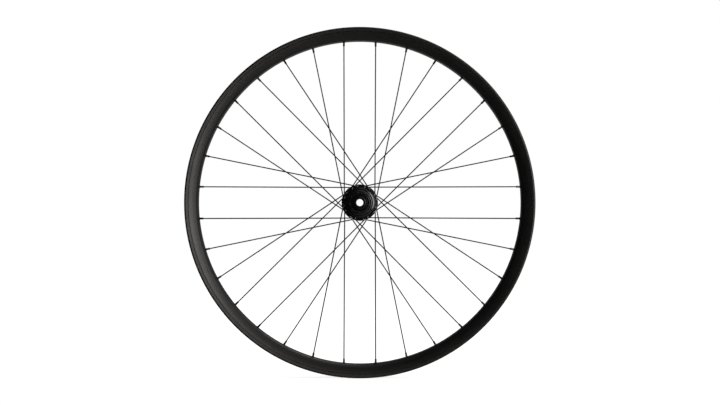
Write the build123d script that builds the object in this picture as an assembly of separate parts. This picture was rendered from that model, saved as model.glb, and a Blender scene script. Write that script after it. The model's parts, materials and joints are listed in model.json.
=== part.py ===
import math
import os

from build123d import *

# Rear wheel of a mountain bicycle, 584 mm bead seat, in millimetres.
# The axle line is Y: the drive side is -Y and the disc side is +Y. +Z is up and +X is forwards.
# The origin is the middle of the axle line, which is also the middle plane of the rim.

# Rim
bead_seat_radius = 292.0
rim_inner_width = 30.0
bead_wall_thickness = 4.0
bead_wall_height = 6.0
rim_depth = 23.0
rim_shell_thickness = 1.8
tyre_bed_thickness = 1.6
drop_centre_depth = 4.5
drop_centre_half_width = 7.0
bead_ledge_width = 4.4
bead_hump_height = 0.4
bead_hump_width = 1.0
lip_radius = 2.7
lip_inner_chamfer = 0.7
crease_height = 1.3
crease_half_width = 0.4
crease_depth = 0.5
band_lean = 0.9
side_step = 0.1
bed_corner_radius = 8.0
side_lean_at_bed = 32.0
side_lean_at_crease = 12.0
valve_hole_radius = 3.25

# Spokes and nipples
lacing_groups = 8
crosses = 3
spoke_radius = 1.0
elbow_radius = 2.3
elbow_lead = 0.3
head_radius = 1.75
head_height = 1.2
head_rim_height = 0.5
cross_gap = 0.3
cross_bend_radius = 60.0
nipple_stagger = 2.5
nipple_seat_depth = 0.4
nipple_head_radius = 2.9
nipple_head_height = 2.6
nipple_shank_radius = 1.95
nipple_square = 3.3
nipple_show = 7.2
nipple_neck = 1.8
nipple_collar = 1.4
nipple_collar_end_radius = 1.5
spoke_end_in_head = 0.8
thread_gap = 0.1
nipple_hole_gap = 0.2
spot_face_gap = 0.3
access_hole_radius = 4.2

# Hub shell
drive_flange_inset = 7.5
disc_flange_inset = 20.2
flange_thickness = 3.2
flange_chamfer = 0.6
flange_edge = 3.6
head_clearance = 1.4
spoke_hole_gap = 0.3
housing_wall = 2.7
housing_edge_radius = 1.3
housing_mouth_depth = 4.5
mouth_gap = 1.8
barrel_radius = 14.6
barrel_wall = 2.3
shell_wall = 2.8
neck_radius = 18.2
flange_root_radius = 24.0
rotor_face_inset = 18.8
rotor_flange_thickness = 6.2
rotor_web_radius = 19.8
rotor_bolt_circle_radius = 22.0
rotor_bolt_hole_radius = 2.1
rotor_bolt_count = 6
rotor_lobe_radius = 5.0
pilot_radius = 17.5
pilot_length = 2.3
disc_seal_recess = 1.0

# Axle and end caps
hub_half_width = 74.0
axle_bore_radius = 6.05
axle_seat_radius = 7.5
axle_middle_radius = 9.0
end_cap_wall = 4.0
end_cap_radius = 9.75
end_cap_chamfer = 0.6
end_cap_neck_radius = 9.1
end_cap_brim_thickness = 2.6
drive_brim_radius = 13.2
drive_brim_setback = 8.0
disc_brim_radius = 16.4
disc_brim_gap = 0.5
sleeve_wall = 1.7

# Bearings
shell_bearing_radius = 14.0
shell_bearing_width = 7.0
shell_ball_radius = 2.0
shell_ball_count = 11
freehub_bearing_radius = 12.0
freehub_bearing_width = 5.0
freehub_ball_radius = 1.35
freehub_ball_count = 15
race_share = 0.3
ball_gap = 0.05
seal_thickness = 0.5
seal_inset = 0.1
seal_lip_gap = 0.3
seat_gap = 0.02

# Ratchet drive
ring_nut_radius = 17.0
ring_nut_length = 7.0
ring_nut_floor = 1.2
ring_nut_floor_bore = 11.3
thread_fit = 0.05
ratchet_teeth = 24
ratchet_tooth_height = 0.9
ratchet_body_thickness = 2.7
ratchet_bore_radius = 10.6
ratchet_root_radius = 13.6
ratchet_spline_radius = 14.4
ratchet_spline_count = 20
ratchet_spline_width = 1.7
ratchet_spline_gap = 0.15
ratchet_tip_land = 0.1
ratchet_tip_gap = 0.3
ratchet_stand_out = 0.6
spring_space = 2.8
spring_wire = 0.7
spring_turns = 2.5

# Freehub
freehub_inset = 7.0
freehub_wall = 2.4
freehub_end_gap = 0.5
freehub_web = 3.2
freehub_web_bore_gap = 1.6
shoulder_radius = 19.7
shoulder_thickness = 2.6
shoulder_gap = 0.9
spline_length = 35.0
spline_root_radius = 16.3
spline_radius = 17.3
spline_count = 9
spline_width = 4.0
wide_spline_width = 6.5
spline_turn = 25.0
lockring_bore_radius = 15.3
lockring_depth = 8.0
bearing_spacing = 14.0
lip_seal_gap = 0.3
lip_seal_thickness = 1.0
lip_seal_length = 3.0

# Rim levels, as distances from the axle line or from the middle plane
rim_outer_radius = bead_seat_radius + bead_wall_height
rim_half_width = rim_inner_width / 2 + bead_wall_thickness
spoke_bed_radius = rim_outer_radius - rim_depth
crease_radius = bead_seat_radius - crease_height
side_end_radius = crease_radius - crease_half_width
side_end_y = rim_half_width - band_lean - side_step
drop_centre_radius = bead_seat_radius - drop_centre_depth
cavity_top_radius = bead_seat_radius - tyre_bed_thickness
cavity_drop_radius = drop_centre_radius - tyre_bed_thickness
cavity_bed_radius = spoke_bed_radius + rim_shell_thickness
nipple_seat_radius = cavity_bed_radius - nipple_seat_depth

# Spoke counts and angles, in degrees
spoke_count = 4 * lacing_groups
spoke_pitch = 360 / spoke_count
hub_offset = crosses * 2 * spoke_pitch
elbow_standoff = elbow_radius + elbow_lead
cross_offset = spoke_radius + cross_gap / 2
spoke_hole_radius = spoke_radius + spoke_hole_gap

# Stations along the axle line on the drive side, from the end of the hub inwards
freehub_outer_y = freehub_inset - hub_half_width
shoulder_outer_y = freehub_outer_y + spline_length
shoulder_inner_y = shoulder_outer_y + shoulder_thickness
mouth_y = shoulder_inner_y + shoulder_gap
drive_flange_y = mouth_y + drive_flange_inset
ring_nut_outer_y = mouth_y + housing_mouth_depth
ring_nut_inner_y = ring_nut_outer_y + ring_nut_length
drive_shoulder_y = ring_nut_inner_y + shell_bearing_width
hub_ratchet_tip_y = ring_nut_outer_y - ratchet_stand_out
hub_ratchet_back_y = hub_ratchet_tip_y + ratchet_tooth_height + ratchet_body_thickness
drive_ratchet_tip_y = hub_ratchet_tip_y - ratchet_tip_gap
drive_ratchet_back_y = drive_ratchet_tip_y - ratchet_tooth_height - ratchet_body_thickness
freehub_inner_y = drive_ratchet_tip_y - freehub_end_gap
pocket_floor_y = drive_ratchet_back_y - spring_space
inboard_bearing_y = pocket_floor_y - freehub_web
outboard_bearing_y = inboard_bearing_y - freehub_bearing_width - bearing_spacing
outboard_bearing_end_y = outboard_bearing_y - freehub_bearing_width

# Radii that follow from one another around the ratchet drive, out to the edge of the flanges
housing_bore_radius = ring_nut_radius + thread_fit
mouth_radius = shoulder_radius + mouth_gap
housing_radius = mouth_radius + housing_wall
spoke_circle_radius = housing_radius + head_clearance + head_radius
flange_radius = spoke_circle_radius + flange_edge
skirt_radius = ratchet_spline_radius + ratchet_spline_gap + freehub_wall
sleeve_radius = axle_seat_radius + sleeve_wall
freehub_web_bore = sleeve_radius + freehub_web_bore_gap

# Stations on the disc side
rotor_face_y = hub_half_width - rotor_face_inset
disc_flange_y = rotor_face_y - disc_flange_inset
pilot_end_y = rotor_face_y + pilot_length
disc_bearing_end_y = pilot_end_y - disc_seal_recess
disc_shoulder_y = disc_bearing_end_y - shell_bearing_width
axle_half_length = hub_half_width - end_cap_wall


def turned(points, rounds=()):
    """Solid turned about the axle line from (radius, y) points. rounds holds (corner, radius) pairs."""
    outline = make_face(Polyline(*points, close=True))
    for corner, radius in rounds:
        vertex = outline.vertices().sort_by_distance(points[corner])[0]
        outline = fillet(vertex, radius)
    return revolve(outline, Axis.Y)


def ring(inner_radius, outer_radius, start_y, end_y):
    """Plain tube about the axle line."""
    return turned(
        [
            (inner_radius, start_y),
            (outer_radius, start_y),
            (outer_radius, end_y),
            (inner_radius, end_y),
        ]
    )


def along_axle(sketch, start_y, end_y):
    """A flat shape drawn about the axle line, drawn out from one station to another."""
    plane = Plane(origin=(0, start_y, 0), x_dir=(1, 0, 0), z_dir=(0, 1, 0))
    return extrude(plane * sketch, amount=end_y - start_y, dir=(0, 1, 0))


def turn_to(angle):
    """Turn about the axle line, counted from +X towards +Z."""
    return Rot(0, -angle, 0)


def polar_point(radius, angle, y):
    """Point at a distance from the axle line, at an angle from +X towards +Z."""
    turn = math.radians(angle)
    return Vector(radius * math.cos(turn), y, radius * math.sin(turn))


def post(start, direction, radius, first, last):
    """Round post along a direction, between two distances from its start."""
    plane = Plane(origin=start + direction * first, z_dir=direction)
    return extrude(plane * Circle(radius), amount=last - first, dir=direction)


class SpokeLine:
    """Line of one spoke whose nipple stands at angle 0.

    side is -1 on the drive flange and +1 on the disc flange.
    lead is +1 for a spoke with its head outside the flange, which runs on the inner side,
    and -1 for one with its head inside.
    """

    def __init__(self, side, lead):
        flange_y = drive_flange_y if side < 0 else disc_flange_y
        outwards = side * lead
        hole = polar_point(spoke_circle_radius, lead * hub_offset, 0)
        seat = polar_point(nipple_seat_radius, 0, 0)
        step = seat - hole
        # The outermost crossing lies half way between the nipples of the two spokes that meet there.
        meet = math.radians(lead * spoke_pitch)
        share = (hole.Z * math.cos(meet) - hole.X * math.sin(meet)) / (
            step.X * math.sin(meet) - step.Z * math.cos(meet)
        )
        nipple_y = side * nipple_stagger
        crossing = hole + step * share
        crossing_y = flange_y * (1 - share) + nipple_y * share + outwards * cross_offset
        elbow_y = flange_y - outwards * (flange_thickness / 2 + elbow_standoff)
        self.head = Vector(hole.X, flange_y + outwards * flange_thickness / 2, hole.Z)
        self.elbow = Vector(hole.X, elbow_y, hole.Z)
        self.crossing = Vector(crossing.X, crossing_y, crossing.Z)
        self.seat = Vector(seat.X, nipple_y, seat.Z)
        self.head_way = Vector(0, outwards, 0)
        self.first_way = (self.crossing - self.elbow).normalized()
        self.last_way = (self.seat - self.crossing).normalized()

    def at_seat(self):
        """Plane on the nipple's seat, facing out of the rim."""
        return Plane(origin=self.seat, x_dir=(0, 1, 0), z_dir=self.last_way)


def make_spoke(line):
    """Spoke with a domed head, a J-bend and a slight bend where it is laced over its neighbour."""
    end = line.seat + line.last_way * spoke_end_in_head
    bends = [elbow_radius, cross_bend_radius]
    path = FilletPolyline(line.head, line.elbow, line.crossing, end, radius=bends)
    start = Plane(origin=line.head, z_dir=-line.head_way)
    wire = sweep(start * Circle(spoke_radius), path=path)
    head_rim = (head_radius, head_rim_height)
    head_top = (0, head_height)
    head_sides = Polyline(head_rim, (head_radius, 0), (0, 0), head_top)
    head_outline = make_face(head_sides + TangentArc(head_top, head_rim, tangent=(1, 0)))
    head = revolve(Plane.XZ * head_outline, Axis.Z)
    return wire + Plane(origin=line.head, z_dir=line.head_way) * head


def make_nipple(line):
    """Nipple with a round head in the rim and a square shank that ends in a tapered collar."""
    shank_end = -(rim_shell_thickness - nipple_seat_depth + nipple_show)
    square_start = shank_end + nipple_show - nipple_neck
    collar_start = shank_end + nipple_collar
    bore = spoke_radius + thread_gap
    outline = make_face(
        Polyline(
            (bore, collar_start),
            (nipple_shank_radius, collar_start),
            (nipple_shank_radius, 0),
            (nipple_head_radius, 0),
            (nipple_head_radius, nipple_head_height),
            (bore, nipple_head_height),
            close=True,
        )
    )
    collar_outline = make_face(
        Polyline(
            (bore, shank_end),
            (nipple_collar_end_radius, shank_end),
            (nipple_shank_radius, collar_start),
            (bore, collar_start),
            close=True,
        )
    )
    body = revolve(Plane.XZ * outline, Axis.Z) + revolve(Plane.XZ * collar_outline, Axis.Z)
    flats = Circle(nipple_head_radius) - Rectangle(nipple_square, nipple_square)
    body -= extrude(Plane.XY.offset(collar_start) * flats, amount=square_start - collar_start)
    return line.at_seat() * body


def make_nipple_holes(line):
    """What is drilled out of the rim for a nipple: its hole, a flat seat and the way in from the tyre."""
    start = line.seat
    way = line.last_way
    hole_radius = nipple_shank_radius + nipple_hole_gap
    seat_radius = nipple_head_radius + spot_face_gap
    half_room = (cavity_drop_radius - nipple_seat_radius) / 2
    hole = post(start, way, hole_radius, -rim_depth / 2, half_room)
    spot_face = post(start, way, seat_radius, 0, half_room)
    access = post(start, way, access_hole_radius, half_room, rim_depth)
    return [hole, spot_face, access]


def lean_point(radius, lean):
    """Offset in (radius, y) from the centre of an arc to where the arc's side has this lean, in degrees."""
    turn = math.radians(lean)
    return Vector(-radius * math.sin(turn), radius * math.cos(turn))


def rim_side(inset):
    """The rounded corner and the crowned side of the rim, set in by a wall, as two arcs of three points."""
    bed_lean = 90
    side_middle_lean = (side_lean_at_bed + side_lean_at_crease) / 2
    corner_middle_lean = (bed_lean + side_lean_at_bed) / 2
    corner_rise = bed_corner_radius + lean_point(bed_corner_radius, side_lean_at_bed).X
    side_span = lean_point(1, side_lean_at_crease) - lean_point(1, side_lean_at_bed)
    side_radius = (side_end_radius - spoke_bed_radius - corner_rise) / side_span.X
    side_end = Vector(side_end_radius, side_end_y)
    side_centre = side_end - lean_point(side_radius, side_lean_at_crease)
    side_start = side_centre + lean_point(side_radius, side_lean_at_bed)
    corner_centre = side_start - lean_point(bed_corner_radius, side_lean_at_bed)
    corner_leans = (bed_lean, corner_middle_lean, side_lean_at_bed)
    side_leans = (side_lean_at_bed, side_middle_lean, side_lean_at_crease)
    corner = [corner_centre + lean_point(bed_corner_radius - inset, lean) for lean in corner_leans]
    side = [side_centre + lean_point(side_radius - inset, lean) for lean in side_leans]
    return corner, side


def make_rim_section():
    """Cross section of the rim in (radius, y), drawn for one side and mirrored."""
    bead_inner_y = rim_inner_width / 2
    ledge_y = bead_inner_y - bead_ledge_width
    band_y = rim_half_width - band_lean
    lip_start = Vector(rim_outer_radius - lip_radius, rim_half_width)
    lip_centre = lip_start - Vector(0, lip_radius)
    lip_middle = lip_centre + Vector(1, 1).normalized() * lip_radius
    lip_end = lip_centre + Vector(lip_radius, 0)
    corner, side = rim_side(0)
    inner_corner, inner_side = rim_side(rim_shell_thickness)
    with BuildSketch() as outline:
        with BuildLine():
            Line((spoke_bed_radius, 0), corner[0])
            ThreePointArc(*corner)
            ThreePointArc(*side)
            Polyline(
                side[2],
                (crease_radius, side_end_y - crease_depth),
                (crease_radius + crease_half_width, band_y),
                lip_start,
            )
            ThreePointArc(lip_start, lip_middle, lip_end)
            Polyline(
                lip_end,
                (rim_outer_radius, bead_inner_y + lip_inner_chamfer),
                (rim_outer_radius - lip_inner_chamfer, bead_inner_y),
                (bead_seat_radius, bead_inner_y),
                (bead_seat_radius, ledge_y),
                (bead_seat_radius + bead_hump_height, ledge_y - bead_hump_width / 2),
                (bead_seat_radius, ledge_y - bead_hump_width),
                (drop_centre_radius, drop_centre_half_width),
                (drop_centre_radius, 0),
            )
            mirror(about=Plane.XZ)
        make_face()
        with BuildLine():
            Polyline(
                (cavity_bed_radius, 0),
                inner_corner[0],
                inner_corner[2],
                inner_side[1],
                (cavity_top_radius, inner_side[2].Y - rim_shell_thickness),
                (cavity_top_radius, ledge_y),
                (cavity_drop_radius, drop_centre_half_width),
                (cavity_drop_radius, 0),
            )
            mirror(about=Plane.XZ)
        make_face(mode=Mode.SUBTRACT)
    return outline.sketch


def make_rim(lines):
    """Hollow carbon rim, drilled for its nipples and for the valve at the top."""
    rim = revolve(make_rim_section(), Axis.Y)
    up = Vector(0, 0, 1)
    drilled = [post(Vector(), up, valve_hole_radius, spoke_bed_radius / 2, rim_outer_radius)]
    for number in range(spoke_count):
        turn = turn_to(nipple_angle(number))
        drilled += [turn * tool for tool in make_nipple_holes(lines[kind(number)])]
    return rim - drilled


def kind(number):
    """(side, lead) of a spoke: neighbours go to opposite flanges, and pairs lean opposite ways."""
    return (-1 if number % 2 == 0 else 1, 1 if number % 4 < 2 else -1)


def nipple_angle(number):
    return (number + 0.5) * spoke_pitch


def make_hub_shell():
    """Shell with two spoke flanges, a ratchet housing on the drive side and a rotor flange."""
    half = flange_thickness / 2
    edge = flange_radius - flange_chamfer
    drive_out = drive_flange_y - half
    drive_in = drive_flange_y + half
    disc_in = disc_flange_y - half
    disc_out = disc_flange_y + half
    bearing_wall_radius = shell_bearing_radius + shell_wall
    nut_wall_radius = housing_bore_radius + shell_wall
    barrel_bore = barrel_radius - barrel_wall
    rotor_back_y = rotor_face_y - rotor_flange_thickness
    points = [
        (mouth_radius, mouth_y),
        (housing_radius, mouth_y),
        (housing_radius, drive_out),
        (edge, drive_out),
        (flange_radius, drive_out + flange_chamfer),
        (flange_radius, drive_in - flange_chamfer),
        (edge, drive_in),
        (flange_root_radius, drive_in),
        (nut_wall_radius, ring_nut_inner_y),
        (bearing_wall_radius, drive_shoulder_y),
        (barrel_radius, drive_shoulder_y + shell_bearing_width),
        (barrel_radius, disc_in - shell_bearing_width),
        (neck_radius, disc_in - shell_wall / 2),
        (flange_root_radius, disc_in),
        (edge, disc_in),
        (flange_radius, disc_in + flange_chamfer),
        (flange_radius, disc_out - flange_chamfer),
        (edge, disc_out),
        (flange_root_radius, disc_out),
        (neck_radius, disc_out + shell_wall),
        (neck_radius, rotor_back_y),
        (rotor_web_radius, rotor_back_y),
        (rotor_web_radius, rotor_face_y),
        (pilot_radius, rotor_face_y),
        (pilot_radius, pilot_end_y),
        (shell_bearing_radius + seat_gap, pilot_end_y),
        (shell_bearing_radius + seat_gap, disc_shoulder_y),
        (barrel_bore, disc_shoulder_y),
        (barrel_bore, drive_shoulder_y),
        (shell_bearing_radius + seat_gap, drive_shoulder_y),
        (shell_bearing_radius + seat_gap, ring_nut_inner_y),
        (housing_bore_radius, ring_nut_inner_y),
        (housing_bore_radius, ring_nut_outer_y),
        (mouth_radius, ring_nut_outer_y),
    ]
    shell = turned(points, rounds=[(1, housing_edge_radius)])
    bolt_places = PolarLocations(rotor_bolt_circle_radius, rotor_bolt_count)
    lobes = Circle(rotor_web_radius) + bolt_places * Circle(rotor_lobe_radius)
    lobes -= Circle(neck_radius - shell_wall / 2)
    shell += along_axle(lobes, rotor_back_y, rotor_face_y)
    bolts = Sketch() + bolt_places * Circle(rotor_bolt_hole_radius)
    shell -= along_axle(bolts, rotor_back_y - shell_wall, rotor_face_y + pilot_length)
    drilled = []
    for number in range(spoke_count):
        side, lead = kind(number)
        flange_y = drive_flange_y if side < 0 else disc_flange_y
        hole = polar_point(spoke_circle_radius, nipple_angle(number) + lead * hub_offset, flange_y)
        drilled.append(post(hole, Vector(0, 1, 0), spoke_hole_radius, -flange_thickness, flange_thickness))
    return shell - drilled


def make_axle():
    """Hollow axle with a thicker middle, whose two shoulders locate the shell bearings."""
    return turned(
        [
            (axle_bore_radius, -axle_half_length),
            (axle_seat_radius, -axle_half_length),
            (axle_seat_radius, drive_shoulder_y),
            (axle_middle_radius, drive_shoulder_y),
            (axle_middle_radius, disc_shoulder_y),
            (axle_seat_radius, disc_shoulder_y),
            (axle_seat_radius, axle_half_length),
            (axle_bore_radius, axle_half_length),
        ]
    )


def make_end_cap(side, bearing_y, brim_radius, brim_y):
    """Cap over the axle's end, with a brim that covers the bearing. brim_y is its inner face."""
    end_y = side * hub_half_width
    socket_y = side * axle_half_length
    brim_end_y = brim_y + side * end_cap_brim_thickness
    socket_radius = axle_seat_radius + seat_gap
    return turned(
        [
            (axle_bore_radius, end_y),
            (end_cap_radius - end_cap_chamfer, end_y),
            (end_cap_radius, end_y - side * end_cap_chamfer),
            (end_cap_radius, brim_end_y),
            (brim_radius, brim_end_y),
            (brim_radius, brim_y),
            (end_cap_neck_radius, brim_y),
            (end_cap_neck_radius, bearing_y),
            (socket_radius, bearing_y),
            (socket_radius, socket_y),
            (axle_bore_radius, socket_y),
        ]
    )


def make_bearing(outer_radius, width, ball_radius, ball_count, inner_y):
    """Cartridge bearing: outer ring with two seals, inner ring, and balls. inner_y is its +Y face."""
    middle_y = inner_y - width / 2
    space = outer_radius - axle_seat_radius
    pitch_radius = axle_seat_radius + space / 2
    inner_top = axle_seat_radius + space * race_share
    outer_bottom = outer_radius - space * race_share
    groove = Pos(pitch_radius, middle_y) * Circle(ball_radius + ball_gap)
    bore = axle_seat_radius + seat_gap
    inner = Pos((bore + inner_top) / 2, middle_y) * Rectangle(inner_top - bore, width) - groove
    outer = Pos((outer_bottom + outer_radius) / 2, middle_y) * Rectangle(outer_radius - outer_bottom, width)
    outer -= groove
    seal_bottom = inner_top + seal_lip_gap
    seal_y = width / 2 - seal_inset - seal_thickness / 2
    seal_reach = (seal_bottom + outer_bottom) / 2
    for seal_side in (-1, 1):
        place = Pos(seal_reach, middle_y + seal_side * seal_y)
        outer += place * Rectangle(outer_bottom - seal_bottom, seal_thickness)
    balls = []
    for number in range(ball_count):
        centre = polar_point(pitch_radius, 360 * number / ball_count, middle_y)
        balls.append(Pos(centre.X, centre.Y, centre.Z) * Sphere(ball_radius))
    return revolve(outer, Axis.Y), revolve(inner, Axis.Y), balls


def splined(root_radius, tip_radius, width):
    """Flat round shape with drive splines around it."""
    depth = tip_radius - root_radius
    teeth = PolarLocations(root_radius, ratchet_spline_count) * Rectangle(2 * depth, width)
    return (Circle(root_radius) + teeth) & Circle(tip_radius)


def splined_socket():
    """Flat shape that the ratchets' splines slide in."""
    gap = ratchet_spline_gap
    return splined(
        ratchet_root_radius + gap, ratchet_spline_radius + gap, ratchet_spline_width + 2 * gap
    )


def make_ratchet(tip_y, facing):
    """Ring with saw teeth on one face and splines around it. facing is the way its teeth point along Y."""
    back_y = tip_y - facing * (ratchet_tooth_height + ratchet_body_thickness)
    blank = splined(ratchet_root_radius, ratchet_spline_radius, ratchet_spline_width)
    blank -= Circle(ratchet_bore_radius)
    body = along_axle(blank, min(tip_y, back_y), max(tip_y, back_y))
    pitch = 2 * ratchet_bore_radius * math.tan(math.pi / ratchet_teeth)
    start = ratchet_bore_radius - ratchet_tooth_height
    gullet = make_face(
        Polyline(
            (start, tip_y, 0),
            (start, tip_y, -facing * (pitch - ratchet_tip_land)),
            (start, tip_y - facing * ratchet_tooth_height, 0),
            close=True,
        )
    )
    cut = extrude(gullet, amount=ratchet_spline_radius + ratchet_tooth_height - start, dir=(1, 0, 0))
    return body - [turn_to(360 * number / ratchet_teeth) * cut for number in range(ratchet_teeth)]


def make_spring(start_y, end_y):
    """Square wire spring between two stations."""
    coil_radius = (ratchet_bore_radius + ratchet_root_radius) / 2
    room = end_y - start_y - spring_wire
    path = Helix(
        pitch=room / spring_turns,
        height=room,
        radius=coil_radius,
        center=(0, start_y + spring_wire / 2, 0),
        direction=(0, 1, 0),
    )
    section = Plane(origin=path @ 0, x_dir=(0, 1, 0), z_dir=path % 0) * Rectangle(spring_wire, spring_wire)
    return sweep(section, path=path, is_frenet=True)


def make_ring_nut():
    """Nut in the shell's housing that holds the hub ratchet and its spring."""
    nut = ring(ring_nut_floor_bore, ring_nut_radius, ring_nut_outer_y, ring_nut_inner_y)
    return nut - along_axle(splined_socket(), ring_nut_outer_y, ring_nut_inner_y - ring_nut_floor)


def make_freehub():
    """Freehub body with ridges for the sprockets, a shoulder and a splined pocket for the drive ratchet."""
    blank = turned(
        [
            (freehub_web_bore, freehub_inner_y),
            (skirt_radius, freehub_inner_y),
            (skirt_radius, shoulder_inner_y),
            (shoulder_radius, shoulder_inner_y),
            (shoulder_radius, shoulder_outer_y),
            (spline_root_radius, shoulder_outer_y),
            (spline_root_radius, freehub_outer_y),
            (lockring_bore_radius, freehub_outer_y),
            (lockring_bore_radius, freehub_outer_y + lockring_depth),
            (freehub_bearing_radius + seat_gap, freehub_outer_y + lockring_depth),
            (freehub_bearing_radius + seat_gap, inboard_bearing_y),
            (freehub_web_bore, inboard_bearing_y),
        ]
    )
    ridge_depth = spline_radius - spline_root_radius
    ridge_places = PolarLocations(spline_root_radius, spline_count)
    ridges = Sketch() + ridge_places * Rectangle(2 * ridge_depth, spline_width)
    ridges += Pos(spline_root_radius, 0) * Rectangle(2 * ridge_depth, wide_spline_width)
    ridges = (ridges & Circle(spline_radius)) - Circle((spline_root_radius + lockring_bore_radius) / 2)
    body = blank + turn_to(spline_turn) * along_axle(ridges, freehub_outer_y, shoulder_outer_y)
    return body - along_axle(splined_socket(), pocket_floor_y, freehub_inner_y)


def make_freehub_seal():
    """Lip seal behind the freehub's shoulder, which closes the mouth of the ratchet housing."""
    lip_radius_out = mouth_radius - lip_seal_gap
    return turned(
        [
            (skirt_radius + seat_gap, shoulder_inner_y),
            (shoulder_radius, shoulder_inner_y),
            (lip_radius_out, mouth_y + lip_seal_thickness / 2),
            (lip_radius_out, mouth_y + lip_seal_thickness),
            (shoulder_radius - lip_seal_thickness, mouth_y + lip_seal_thickness / 2),
            (shoulder_radius - lip_seal_thickness, shoulder_inner_y + lip_seal_length),
            (skirt_radius + seat_gap, shoulder_inner_y + lip_seal_length),
        ]
    )


def main():
    os.makedirs("parts", exist_ok=True)
    lines = {(side, lead): SpokeLine(side, lead) for side in (-1, 1) for lead in (-1, 1)}
    nodes = {}
    nodes["rim"] = make_rim(lines)
    spokes = {place: make_spoke(line) for place, line in lines.items()}
    nipples = {place: make_nipple(line) for place, line in lines.items()}
    placed_nipples = []
    for number in range(spoke_count):
        place = kind(number)
        turn = turn_to(nipple_angle(number))
        side_name = "drive" if place[0] < 0 else "disc"
        nodes[f"{side_name}_spoke_{number // 2 + 1:02d}"] = turn * spokes[place]
        placed_nipples.append(turn * nipples[place])
    nodes["nipples"] = Compound(placed_nipples)
    nodes["hub_shell"] = make_hub_shell()
    nodes["axle"] = make_axle()
    drive_brim_y = -hub_half_width + drive_brim_setback + end_cap_brim_thickness
    nodes["drive_end_cap"] = make_end_cap(-1, outboard_bearing_end_y, drive_brim_radius, drive_brim_y)
    disc_brim_y = pilot_end_y + disc_brim_gap
    nodes["disc_end_cap"] = make_end_cap(1, disc_bearing_end_y, disc_brim_radius, disc_brim_y)
    sleeve_bore = axle_seat_radius + seat_gap
    inboard_bearing_end_y = inboard_bearing_y - freehub_bearing_width
    nodes["axle_sleeve"] = ring(sleeve_bore, sleeve_radius, inboard_bearing_y, ring_nut_inner_y)
    nodes["freehub_sleeve"] = ring(sleeve_bore, sleeve_radius, outboard_bearing_y, inboard_bearing_end_y)
    shell_bearing = (shell_bearing_radius, shell_bearing_width, shell_ball_radius, shell_ball_count)
    freehub_bearing = (
        freehub_bearing_radius,
        freehub_bearing_width,
        freehub_ball_radius,
        freehub_ball_count,
    )
    bearings = {
        "drive_shell_bearing": (*shell_bearing, drive_shoulder_y),
        "disc_shell_bearing": (*shell_bearing, disc_bearing_end_y),
        "inboard_freehub_bearing": (*freehub_bearing, inboard_bearing_y),
        "outboard_freehub_bearing": (*freehub_bearing, outboard_bearing_y),
    }
    for name, sizes in bearings.items():
        outer, inner, balls = make_bearing(*sizes)
        nodes[f"{name}_outer_ring"] = outer
        nodes[f"{name}_inner_ring"] = inner
        nodes[f"{name}_balls"] = Compound(balls)
    nodes["ratchet_ring_nut"] = make_ring_nut()
    nodes["hub_ratchet"] = make_ratchet(hub_ratchet_tip_y, -1)
    nodes["drive_ratchet"] = make_ratchet(drive_ratchet_tip_y, 1)
    nodes["hub_ratchet_spring"] = make_spring(hub_ratchet_back_y, ring_nut_inner_y - ring_nut_floor)
    nodes["drive_ratchet_spring"] = make_spring(pocket_floor_y, drive_ratchet_back_y)
    nodes["freehub_body"] = make_freehub()
    nodes["freehub_seal"] = make_freehub_seal()
    for name, shape in nodes.items():
        export_step(shape, f"parts/{name}.step")


main()
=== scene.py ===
# %% [markdown]
# # A rear bicycle wheel, dressed for its picture
# The wheel comes from CAD: every solid is already at its real size, in metres, with the axle line along Y.
# This lesson loads those solids, models finer pieces over the ones that the eye rests on, and gives each
# piece a finish made of shader nodes. A CAD node is never moved. It is either shown with a finish of its
# own, or hidden behind the finer piece that stands for it.

import json
import math

import bpy
from mathutils import Matrix, Vector


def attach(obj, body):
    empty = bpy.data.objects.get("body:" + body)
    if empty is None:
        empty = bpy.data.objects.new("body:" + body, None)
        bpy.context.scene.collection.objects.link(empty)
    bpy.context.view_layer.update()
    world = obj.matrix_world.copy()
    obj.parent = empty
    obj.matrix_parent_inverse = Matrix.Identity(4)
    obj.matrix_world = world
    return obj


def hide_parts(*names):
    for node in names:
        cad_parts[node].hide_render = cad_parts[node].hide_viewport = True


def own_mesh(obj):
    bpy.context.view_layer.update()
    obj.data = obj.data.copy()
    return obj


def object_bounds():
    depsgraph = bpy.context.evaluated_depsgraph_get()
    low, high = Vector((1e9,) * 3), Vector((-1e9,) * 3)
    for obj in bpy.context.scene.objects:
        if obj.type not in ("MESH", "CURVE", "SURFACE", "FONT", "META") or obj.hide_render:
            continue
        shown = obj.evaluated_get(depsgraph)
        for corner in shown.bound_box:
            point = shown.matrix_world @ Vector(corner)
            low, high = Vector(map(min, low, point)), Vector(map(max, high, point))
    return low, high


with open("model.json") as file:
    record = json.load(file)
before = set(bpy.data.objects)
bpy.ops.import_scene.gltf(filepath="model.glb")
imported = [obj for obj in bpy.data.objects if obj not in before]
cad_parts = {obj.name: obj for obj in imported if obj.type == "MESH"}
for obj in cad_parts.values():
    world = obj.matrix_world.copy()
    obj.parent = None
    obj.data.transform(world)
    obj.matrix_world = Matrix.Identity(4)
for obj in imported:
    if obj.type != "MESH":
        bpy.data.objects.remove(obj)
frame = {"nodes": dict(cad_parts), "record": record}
cad_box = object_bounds()
MM = 0.001
print("CAD box in mm:", [[round(x / MM, 1) for x in corner] for corner in cad_box])

# %% [markdown]
# ## The camera
# The photograph looks straight along the axle from the sprocket side, because the hole through the axle
# is perfectly round, and the wheel sits in the middle of the frame. How much smaller the far flange looks
# than the near one gives the distance, about two and a half metres, and the rim's width in the frame then
# gives the lens.

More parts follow.
